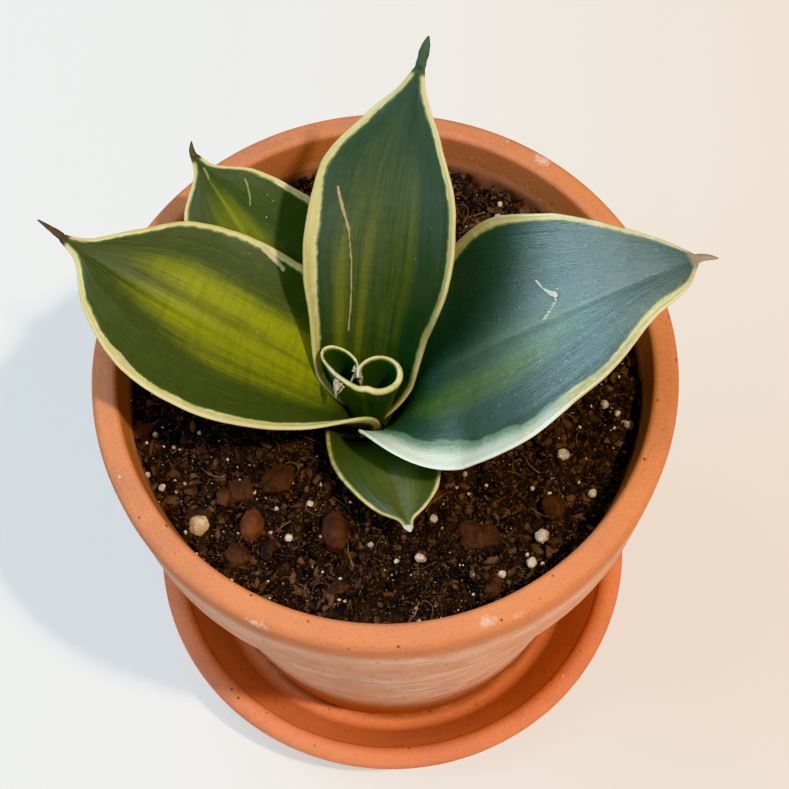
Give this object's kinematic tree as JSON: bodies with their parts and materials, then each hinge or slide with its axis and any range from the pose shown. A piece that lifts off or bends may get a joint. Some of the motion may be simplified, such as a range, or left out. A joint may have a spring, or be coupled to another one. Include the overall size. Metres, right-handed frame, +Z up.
{
  "type": "potted snake plant",
  "caption": "Bird's-nest snake plant with broad cream-edged leaves in a clay pot of bark-rich soil, standing on a clay saucer.",
  "frame": {"origin": "on the pot's axis, at the centre of the saucer's flat underside, which rests on the surface", "axes": "+Z up along the pot's axis; +X to the right seen from the front; +Y from the front towards the back, the way the tall middle leaf leans"},
  "size_m": [0.1703, 0.155, 0.2375],
  "materials": {
    "terracotta": "unglazed fired clay, matt, with pale mineral streaks",
    "terracotta_saucer": "unglazed fired clay, matt, a little more orange than the pot",
    "soil": "loose dark brown potting mix of bark, coir and perlite",
    "rhizome": "pale fibrous plant stub",
    "leaf": "waxy leaf skin, satin, green with yellow-green streaks and a cream margin",
    "young_leaf": "waxy leaf skin, satin, green with a thick cream edge",
    "cream_stone": "matt cream pebble",
    "brown_stone": "matt red-brown stone",
    "bark": "dark fibrous bark",
    "perlite": "matt off-white foamed grains"
  },
  "bodies": {
    "root": {"saucer": "terracotta_saucer", "pot": "terracotta", "soil": "soil", "crown": "rhizome", "leaf_centre": "leaf", "leaf_left": "leaf", "leaf_right": "leaf", "leaf_back_left": "leaf", "leaf_front": "leaf", "leaf_rolled": "young_leaf", "pebble_cream": "cream_stone", "stone_red_brown": "brown_stone", "stone_brown": "brown_stone", "bark_chip_01": "bark", "bark_chip_02": "bark", "bark_chip_03": "bark", "bark_chip_04": "bark", "bark_chip_05": "bark", "bark_chip_06": "bark", "perlite_01": "perlite", "perlite_02": "perlite", "perlite_03": "perlite", "perlite_04": "perlite", "perlite_05": "perlite", "perlite_06": "perlite", "perlite_07": "perlite", "perlite_08": "perlite", "perlite_09": "perlite", "perlite_10": "perlite", "perlite_11": "perlite", "perlite_12": "perlite", "perlite_13": "perlite", "perlite_14": "perlite"}
  },
  "joints": []
}
